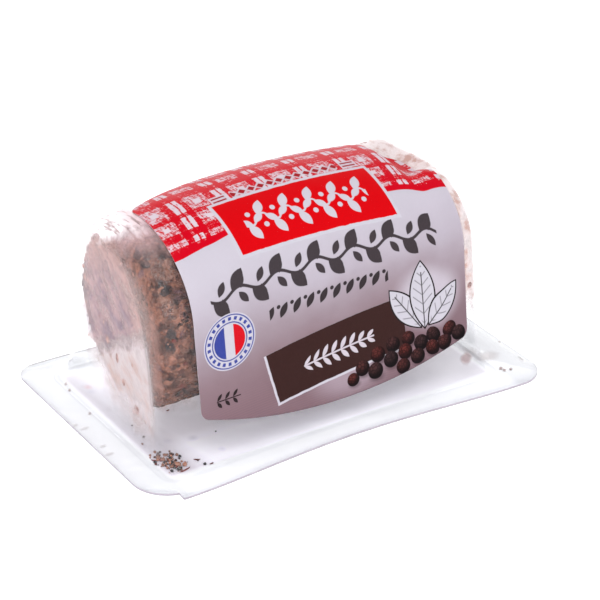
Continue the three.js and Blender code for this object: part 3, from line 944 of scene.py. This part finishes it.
def drop(x, y, sizes, kind_of_crumb):
    """Lays a crumb on the film."""
    straight_up = np.array([0.0, 0.0, 1.0])
    place = np.array([x, y, film_thickness])
    chip(place, straight_up, np.array(sizes), 0.0, None, kind_of_crumb, crumb_chips, icosahedron)


for x, y, size, kind_of_crumb in crumb_places:
    drop(x, y, (size, size * 0.85, size * 0.7), kind_of_crumb)
for k in range(heap_crumbs):
    x = dice.gauss(heap_x, heap_spread_x)
    y = dice.gauss(heap_y, heap_spread_y)
    size = 0.14 + 0.36 * dice.random() ** 1.6
    if heap_left < x < heap_right and heap_front < y < heap_back:
        kind_of_crumb = dice.choice((pale_chip,) * 5 + (brown_chip,) * 2 + (black_chip, red_chip))
        drop(x, y, (size, size * 0.9, size * 0.8), kind_of_crumb)
crumb_points, crumb_faces, crumb_shades, crumb_kinds = crumb_chips
for x, y, length, turn in sliver_places:
    start = len(crumb_points)
    for spike in icosahedron[0]:
        along, wide, high = spike * (length, sliver_width, sliver_height)
        bend = sliver_bend * (along / length) ** 2
        crumb_points.append((
            x + along * math.cos(turn) - (wide + bend) * math.sin(turn),
            y + along * math.sin(turn) + (wide + bend) * math.cos(turn),
            film_thickness + sliver_lift + high,
        ))
    crumb_faces += [tuple(start + k for k in side) for side in twenty_sides]
    crumb_shades += [dice.uniform(0.3, 0.7)] * len(twenty_corners)
    crumb_kinds += [red_chip] * len(twenty_corners)
crumbs = pepper_piece("pepper_crumbs", crumb_chips)
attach(crumbs, "root")


# The film: thin white plastic film, heat-sealed under the flange. Under the dome it glows a little, a painted
# light that stands for light coming through it from the table. Damp from the cheese has left faint grey
# patches on it.
film = Finish("white_film")
across, deep = film.axis("X"), film.axis("Y")
blotch = film.noise(120, 3.0)
under_dome = (abs(across - dome_middle_x) - 39.5).rise(1.5, 0.5) * (abs(deep) - 23.5).rise(1.2, 0.2)
grey_patches = ((-39.6, 15.4, 1.6), (-35.5, -11.5, 1.5), (-30.4, -13.3, 1.6), (-27.5, -20.4, 1.4))
grey = together([
    (disc(across, deep, x, y) + blotch * 1.5).rise(wide + 0.6, 0.6) * 0.5 for x, y, wide in grey_patches
])
# A painted shadow darkens the film under and around the log.
log_shadow = (abs(across - dome_middle_x) + blotch * 2).rise(38, 34) * (abs(deep) + blotch * 2).rise(16, 11.5) * 0.25
pink_spot = disc(across, deep, -39.2, 17.7, 1, 1 / 0.7) + film.noise(600, 2.0) * 0.8
outside = blotch.blend((232, 232, 233), (228, 228, 230))
# The sealed ends are painted greyer: painted shade that tones down the brighter light on them.
outside = (abs(across) - 40.5).rise(0, 2).blend(outside, (212, 212, 214))
# Under the dome the film is painted lighter than outside: painted light that makes up for the shade of the
# pack.
film_colour = under_dome.blend(outside, (250, 247, 255))
# The film's cut sides are painted dark: a painted shade that draws its thin edge line.
normal = film.add("ShaderNodeNewGeometry", {}, {}, "Normal")
facing_up = abs(film.add("ShaderNodeSeparateXYZ", {}, [normal], "Z"))
film_colour = facing_up.rise(0.6, 0.4).blend(film_colour, (140, 132, 142))
# The right and left parts of the film under the dome are painted greyer: painted shade.
right_painted_shade = across.rise(12, 34) * under_dome
film_colour = right_painted_shade.blend(film_colour, (212, 208, 214))
left_painted_shade = (across + deep * 0.12).rise(-34, -39) * under_dome
film_colour = left_painted_shade.blend(film_colour, (200, 194, 202))
stains_and_shadow = (grey * under_dome).blend(film_colour, (176, 170, 190))
stains_and_shadow = log_shadow.blend(stains_and_shadow, (150, 126, 132))
stains_and_shadow = (pink_spot.rise(1.5, 0.3) * 0.7).blend(stains_and_shadow, (196, 140, 146))
# Under the dome the film glows: painted light.
painted_glow = {
    "Specular IOR Level": 0.5,
    "Emission Color": under_dome.blend((0, 0, 0), (250, 244, 255)),
    "Emission Strength": 0.06,
}
film_bump = film.bump(film.noise(90, 2.0), 0.0006)
film_shader = film.coat(stains_and_shadow, blotch * 0.2 + 0.28, film_bump, painted_glow)
base_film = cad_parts["base_film"]
base_film.material_slots[0].material = film.show(film_shader)


# The label: one sheet of varnished paper, cut with curved edges and laid over the dome's front and top.
# Its print is a gingham cloth over a pale ground, a red plaque, sprigs, a round seal and peppercorns.
label_left_x = -33.9
label_right_x = 33.7
label_lowest_z = 5.3
label_edge_rise = 5.6
label_corner_radius = 1.6
label_back_y = 11.4
label_back_rise = 6.6
label_face = 0.205  # how far its outer face lies out from the dome's shape
label_thickness = 0.1
label_rows = 150
label_columns_inside = 124
place_rounds = 3
smoothing_rounds = 12


def label_edge(x, rise):
    """How far one curved edge of the label has drawn in from its middle, with rounded corners."""
    middle = (label_left_x + label_right_x) / 2
    half = (label_right_x - label_left_x) / 2
    offset = abs(x - middle)
    into_corner = max(0.0, offset - (half - label_corner_radius))
    corner_drop = label_corner_radius - math.sqrt(max(0.0, label_corner_radius**2 - into_corner**2))
    return rise * (offset / half) ** 2 + corner_drop


label_heights = np.arange(3.6, spring_height - 0.05, 0.2)
label_angles = np.radians(np.arange(0, 132.1, 0.5))
corner_columns = label_corner_radius * (1 - np.cos(np.radians(np.arange(0, 90, 15))))
inner_left = label_left_x + label_corner_radius
inner_right = label_right_x - label_corner_radius
inner_columns = np.linspace(inner_left, inner_right, label_columns_inside)
left_columns = label_left_x + corner_columns
right_columns = (label_right_x - corner_columns)[::-1]
label_columns = np.concatenate([left_columns, inner_columns, right_columns])
label_points = []
label_along = []
label_down = []
for column_x in label_columns:
    height_guess = np.concatenate([label_heights, np.full(len(label_angles), 45.0)])
    for k in range(place_rounds):  # the column stays at one x, though the dome's ends lean
        station = (column_x - dome_middle_x) * ridge_half_length / (reach_at(height_guess) + label_face)
        low_part = wall(station[: len(label_heights)], label_face, label_heights, -1)
        high_part = arch(station[len(label_heights):], label_face, label_angles)
        line = np.concatenate([low_part, high_part])
        height_guess = line[:, 2]
    line[:, 0] = column_x
    spring = np.nonzero(np.abs(line[:, 2] - spring_height) < 2.5)[0]
    for k in range(smoothing_rounds):
        line[spring] = (line[spring - 1] + 2 * line[spring] + line[spring + 1]) / 4
    steps = np.linalg.norm(np.diff(line[:, 1:], axis=0), axis=1)
    length = np.concatenate([[0], np.cumsum(steps)])
    ridge = np.interp(math.pi / 2, label_angles, length[len(label_heights):])
    start = np.interp(label_lowest_z + label_edge(column_x, label_edge_rise), line[:, 2], length)
    back_part = length[len(label_heights):]
    end = np.interp(label_back_y - label_edge(column_x, label_back_rise), high_part[:, 1], back_part)
    wanted = np.linspace(start, end, label_rows)
    for axis_values in np.stack([np.interp(wanted, length, line[:, k]) for k in range(3)], -1):
        label_points.append(tuple(axis_values))
    label_along += [column_x] * label_rows
    label_down += list(wanted - ridge)
label_faces = grid_faces(len(label_columns), label_rows)

ink = Finish("label_print")
ink_dark = (44, 35, 37)
ink_brown = (58, 34, 32)
ink_blue = (60, 74, 160)
paper_white = (216, 212, 222)

wobble = ink.noise(420, 3.0, 0.6)
fine = ink.noise(2400, 3.0, 0.7)
across = ink.carried("along")
down = ink.carried("down")
rough_across = across + (wobble - 0.5) * 0.5
other_wobble = ink.noise(380, 3.0, 0.6, ink.stretched((0.5, 0.3, 0.9), (1, 1, 1)))
rough_down = down + (other_wobble - 0.5) * 0.5

# Ground: lavender white, going to dusty mauve lower down, with soft clouds and fine printed lines.
cloud = ink.noise(60, 3.0, 0.6)
lower = (down - across * 0.08 + (cloud - 0.5) * 9.0).ease(-15.0, -51.0)
ground = lower.ramp(
    (0.0, 212, 206, 217), (0.25, 199, 189, 201), (0.5, 178, 162, 172),
    (0.8, 154, 129, 137), (1.0, 138, 112, 120),
)
screen_lines = (down * 11.5).sine().rise(-0.2, 0.9) * down.rise(-42, -50)
ground = (screen_lines * 0.25).blend(ground, (178, 126, 132))


def oblong(u, v, middle_u, middle_v, half_u, half_v):
    """1 inside a straight box, 0 outside."""
    return (abs(u - middle_u) - half_u).most(abs(v - middle_v) - half_v).edge(-0.07)


def stripe(u, middle, half):
    """1 inside a straight stripe, 0 outside."""
    return (abs(u - middle) - half).edge(-0.07)


def turned(u, v, middle_u, middle_v, degrees):
    """Coordinates about a middle, turned."""
    cosine = math.cos(math.radians(degrees))
    sine = math.sin(math.radians(degrees))
    from_u = u - middle_u
    from_v = v - middle_v
    return from_u * cosine + from_v * sine, from_v * cosine - from_u * sine


def leaf(u, v, length, width):
    """How far inside a pointed leaf a place lies, above 0 inside. The leaf grows along u from 0."""
    share = u / length * 2 - 1
    return (1 - share**2) * (width / 2) - abs(v)


# Gingham: warp stripes across the label and weft stripes along it, of hatched pale squares, thin white pairs
# of stripes and solid red, ending in a wavy red hem.
warp = (rough_across + 34.1) % 10.06
shifted = rough_down + across.ease(-26, -11) * (down + 12).rise(0, 14) * 2.2
pale_warp = stripe(warp, 2.35, 2.35)
white_warp = stripe(warp, 7.6, 1.2) * (1 - stripe(warp, 7.68, 0.2) * 0.85)
weft_stripes = ((10.4, 1.6), (5.25, 1.25), (-1.6, 2.6), (-7.3, 1.8), (-11.7, 0.75))
pale_weft = together([stripe(shifted, middle, half) for middle, half in weft_stripes])
both = pale_warp * pale_weft
bright = oblong(warp, shifted, 2.35, -1.7, 0.75, 0.85).most(oblong(warp, shifted, 2.35, -7.3, 0.7, 0.6))
cover = 0.97 - (pale_warp + pale_weft) * 0.31 + both * 0.15
cover = cover - white_warp * (0.34 - pale_weft * 0.04) - bright * 0.25
down_threads = ink.noise(1500, 3.0, 0.75, ink.stretched((0, 0, 0.12), (0.5, 2.6, 2.6)))
cross_threads = ink.noise(1500, 3.0, 0.75, ink.stretched((0, 0.1, 0.12), (2.6, 0.5, 0.5)))
sketch = (down_threads + cross_threads - 1.0) * 0.75 + 0.5
cover = (cover - sketch).edge(0.08)
cloth_red = (222, 0, 30)
cloth = cover.blend((228, 215, 224), cloth_red)
hem = ink.noise(90, 2.0) * 1.2 - 14.1 - abs(across).ease(18, 34) * 1.5
cloth_mask = (down - hem).edge()
hem_mask = (down - hem).rise(1.45, 1.3)
cloth = hem_mask.blend(cloth, cloth_red)
art = cloth_mask.blend(ground, cloth)

# A row of small red lozenges on white above the plaque, with a pair of dashes at each end.
row_u, row_v = turned(across, down, -1.6, -3.9, 0.6)
cell = (row_u + 30) % 2.3 - 1.15
lozenge = abs(cell) * 0.9 + abs(row_v)
in_row = abs(row_u).rise(13.2, 13.0)
halo = (lozenge - 1.35).edge(-0.1) * in_row
art = (halo.most(oblong(abs(row_u), row_v, 16.1, -0.1, 2.0, 1.25)) * 0.9).blend(art, paper_white)
mark = (lozenge - 0.85).edge(-0.08) * in_row
dashes = oblong(abs(row_u), abs(row_v + 0.1), 16.1, 0.55, 1.6, 0.24)
art = mark.most(dashes).blend(art, (176, 20, 34))

# The red plaque: an uneven four-sided field with a white edge, and a white garland of leaves and dots.
plaque_v = down + across * 0.012
left_lean = across - (down + 12.4) * -0.065
right_lean = across - (down + 12.4) * -0.115
plaque = (left_lean + 19.9).least(17.9 - right_lean).least(-5.95 - plaque_v - (wobble - 0.5) * 0.4)
plaque = plaque.least(plaque_v + 19.0 + (wobble - 0.5) * 0.6)
art = (plaque + 0.75).edge().blend(art, paper_white)
art = plaque.edge().blend(art, (fine * 0.25).blend((232, 2, 14), (206, 6, 20)))
garland_u, garland_v = turned(across, down, -1.0, -12.5, -0.6)
garland_length = 30.0
period = 6.0
wave_phase = garland_u * (2 * math.pi / period)
stem = abs(garland_v - wave_phase.sine() * 1.15) - 0.26
half_cell = garland_u % (period / 2)
flip = wave_phase.sine().edge(0.001) * 2 - 1


def on_stem(cell, upright, width, parts):
    """Leaves that grow from a stem in every cell, turned over in every other one. Each part is a place
    along the cell and above the stem, an angle, a length and a width."""
    places = ((cell, upright), (cell + width, upright * -1))
    return together([
        leaf(*turned(u, v, at, above, degrees), long, wide)
        for at, above, degrees, long, wide in parts
        for u, v in places
    ])


garland_parts = ((0.55, 0.9, 62, 4.1, 2.1), (2.1, 0.6, -38, 3.2, 1.6))
ornament = on_stem(half_cell, garland_v * flip, period / 2, garland_parts)
berry = 0.6 - disc(half_cell, garland_v * flip, 1.5, -1.7)
ornament = ornament.most(berry).most(0 - stem)
within = oblong(garland_u, garland_v, 0, 0, garland_length / 2, 5.2)
art = (ornament.edge() * within * 0.97).blend(art, paper_white)

# A dark brushed sprig that runs right across the label, with dabs below it.
sprig_u, sprig_v = turned(across, down, -1.2, -24.7, 1.6)
brush = 0.8 + (fine - 0.5) * 0.5
sprig_period = 9.4
sprig_phase = sprig_u * (2 * math.pi / sprig_period)
sprig_stem = 0.42 - abs(sprig_v + sprig_phase.sine() * 0.9)
sprig_cell = (sprig_u + 40 * sprig_period) % (sprig_period / 2)
sprig_flip = sprig_phase.sine().edge(-0.001) * 2 - 1
sprig_parts = ((0.5, 0.4, 48, 5.2, 2.9), (2.7, 0.3, 84, 4.0, 2.0), (2.0, -0.2, -55, 3.4, 1.7))
sprig = on_stem(sprig_cell, sprig_v * sprig_flip, sprig_period / 2, sprig_parts).most(sprig_stem) * brush
sprig = sprig.rise(-0.02, 0.1) * oblong(sprig_u, sprig_v, 0, 0, 28.2, 4.6) * 0.95
art = sprig.blend(art, fine.blend(ink_dark, (62, 50, 54)))
dab_u, dab_v = turned(across, down, -1.2, -32.3, 2.4)
dab_cell = (dab_u + 33.0) % 3.3 - 1.65
dab_leaf = leaf(*turned(dab_cell, dab_v, -0.8, -1.6, 58), 3.7, 1.7)
dab_dot = 0.5 - disc(dab_cell, dab_v, -1.0, 1.0)
dab = dab_leaf.most(dab_dot) * brush
art = (dab.rise(-0.02, 0.08) * oblong(dab_u, dab_v, 0, 0, 14.85, 3) * 0.95).blend(art, ink_dark)

# The round seal: rings of blue and white about three upright fields.
seal = disc(across, down, -25.9, -35.3)
seal_turn = ink.add("ShaderNodeMath", {"operation": "ARCTAN2"}, [down + 35.3, across + 25.9])
ticks = (seal_turn * 22).sine().edge(0.2) * (abs(seal - 4.95) - 0.38).edge(-0.06)
fields = (across + 27.0).edge().blend(ink_blue, paper_white)
fields = (across + 24.8).edge().blend(fields, (226, 20, 36))
seal_art = (seal - 3.7).edge(-0.06).blend(paper_white, fields)
seal_art = ticks.most((abs(seal - 4.1) - 0.13).edge(-0.06)).blend(seal_art, ink_blue)
seal_art = (abs(seal - 5.75) - 0.13).edge(-0.06).blend(seal_art, ink_blue)
art = (seal - 6.15).edge(-0.06).blend(art, seal_art)

# A tiny dark sprig near the lower left corner.
tiny_u, tiny_v = turned(across, down, -30.2, -47.4, -4)
tiny_cell = tiny_u % 1.9
tiny = leaf(*turned(tiny_cell, abs(tiny_v), 0.2, 0.1, 52), 1.9, 0.8).most(0.16 - abs(tiny_v))
art = (tiny.rise(-0.02, 0.08) * oblong(tiny_u, tiny_v, 3.0, 0, 2.9, 2)).blend(art, ink_dark)

# Pale glow behind the three white leaves, and the brown plaque with a white edge and a pale sprig.
low_light = disc(across / 1.7, down, 1.4, -51.5).ease(7.5, 2.0)
art = (low_light * 0.6).blend(art, (196, 178, 190))
glow = disc(across / 1.15, down, 20.5, -38.5).ease(9.0, 4.0)
art = (glow * 0.75).blend(art, (222, 214, 226))
board_u, board_v = turned(across, down, -0.3, -45.4, 6.9)
board = (board_u + 16.2 + board_v * 0.10).least(17.6 - board_u).least(5.9 - board_v).least(board_v + 5.9)
board = board + (wobble - 0.5) * 0.3
edge_sides = (board_u + 16.75 + board_v * 0.10).least(17.6 - board_u).least(5.9 - board_v)
edge_sides = edge_sides.least(board_v + 6.45)
art = (edge_sides + (wobble - 0.5) * 0.3).edge().blend(art, paper_white)
art = board.edge().blend(art, fine.blend(ink_brown, (68, 41, 39)))
frond_u, frond_v = turned(across, down, -8.6, -46.9, 7.0)
frond_cell = frond_u % 2.3
frond_reach = (9.3 - abs(frond_u - 9.3)).rise(0, 5.5) * 0.5 + 0.6
frond_leaf = leaf(*turned(frond_cell, abs(frond_v) / frond_reach, 0.1, 0.05, 50), 2.9, 1.05)
frond = frond_leaf.most(0.22 - abs(frond_v))
frond = frond.rise(-0.02, 0.06) * oblong(frond_u, frond_v, 9.0, 0, 9.0, 3.4)
art = (frond * 0.95).blend(art, (224, 214, 224))

# Three white leaves with dark outlines and veins.
white_leaves = ((21.5, -45.5, 128, 12.5, 5.2), (22.5, -45.8, 92, 15.5, 6.2), (23.6, -45.2, 50, 11.5, 5.0))
for base_x, base_down, degrees, long, wide in white_leaves:
    leaf_u, leaf_v = turned(across, down, base_x, base_down, degrees)
    body = leaf(leaf_u, leaf_v, long, wide)
    art = (body + 0.34).edge(0.05).blend(art, ink_dark)
    art = (body - 0.04).edge(0.05).blend(art, paper_white)
    veins = (0.13 - abs((leaf_u - abs(leaf_v) * 0.9) % 2.2 - 1.1) * 0.7).edge(0.03)
    veins = veins * (body - 0.55).rise(0, 0.1)
    midrib = (0.14 - abs(leaf_v)).edge(0.04) * oblong(leaf_u, leaf_v, long * 0.42, 0, long * 0.42, 3)
    art = (midrib.most(veins * 0.55) * 0.9).blend(art, ink_dark)

# Peppercorns: round, wrinkled, black brown or reddish, each with its own shadow.
corns = (
    (28.9, -46.9, 1.85, 0.7), (24.6, -47.6, 1.9, 0.25), (18.0, -47.4, 1.75, 0.6), (14.0, -48.0, 1.85, 0.3),
    (31.3, -48.6, 1.85, 0.2), (21.3, -49.0, 1.9, 0.15), (27.5, -49.6, 1.9, 0.5), (10.0, -49.4, 1.9, 0.75),
    (17.1, -50.3, 1.9, 0.9), (24.3, -50.6, 1.85, 0.8), (13.3, -51.3, 1.95, 0.1), (5.9, -51.6, 1.85, 0.45),
    (20.3, -52.0, 1.9, 0.35), (9.2, -53.0, 2.0, 0.25), (16.4, -53.6, 1.85, 0.55), (3.4, -53.6, 1.6, 0.8),
)
wrinkle = ink.add(
    "ShaderNodeTexVoronoi", {"feature": "DISTANCE_TO_EDGE"}, {"Vector": ink.place(), "Scale": 1250.0}
).rise(0.0, 0.16)
for corn_x, corn_down, radius, redness in corns:
    shadow = disc(across, down * 1.7, corn_x + 0.3, (corn_down - radius * 0.75) * 1.7) / radius
    art = (shadow.ease(1.35, 0.4) * 0.55).blend(art, (70, 54, 58))
for corn_x, corn_down, radius, redness in corns:
    away = disc(across, down, corn_x, corn_down) / radius + (wobble - 0.5) * 0.12
    lit = disc(across, down, corn_x - radius * 0.25, corn_down + radius * 0.45) / radius
    dark = (20 + 10 * redness, 15 + 1 * redness, 18)
    light = (66 + 50 * redness, 48 + 2 * redness, 50 - 6 * redness)
    skin = (lit.ease(1.2, 0.1) * (wrinkle * 0.8 + 0.2)).blend(dark, light)
    art = away.rise(1.02, 0.94).blend(art, skin)

# Light passes through the pale paper, but not through dark or red ink. The print is raised by the share that
# passes, so that it keeps its colour.
paleness = ink.add("ShaderNodeSeparateColor", {}, {"Color": art}, "Blue")
light_passing = (paleness * 0.54).least(0.38)
paper_grain = ink.noise(1400, 3.0, 0.7) * 0.037 + 0.49
varnish_roughness = ink.noise(300, 2.0) * 0.12 + 0.30
varnish_bump = ink.bump(ink.noise(70, 2.0) + fine * 0.01, 0.0008)
paper_colour = (paper_grain / (1 - light_passing)).tint(art)
paper = ink.coat(paper_colour, varnish_roughness, varnish_bump, {"Specular IOR Level": 0.035})
glowing = ink.add("ShaderNodeBsdfTranslucent", {}, {"Color": (196, 186, 198)})
label_shader = ink.mix(light_passing, paper, glowing)
paper_back = Finish("paper_back")
back_colour = paper_back.noise(1500, 4.0).blend((228, 224, 226), (242, 240, 240))
back_paper = paper_back.coat(back_colour, 0.7, paper_back.bump(paper_back.noise(3000, 3.0), 0.00005))
back_glow = paper_back.add("ShaderNodeBsdfTranslucent", {}, {"Color": (244, 240, 244)})
back_shader = paper_back.mix(0.75, back_paper, back_glow)
label = piece_from(
    "label_sheet",
    label_points,
    label_faces,
    [ink.show(label_shader), paper_back.show(back_shader)],
    carried={"along": label_along, "down": label_down},
)
sheet = label.modifiers.new("paper", "SOLIDIFY")
sheet.thickness = label_thickness * 0.001
sheet.offset = -1
sheet.material_offset = 1
sheet.material_offset_rim = 1
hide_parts("label")
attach(label, "root")
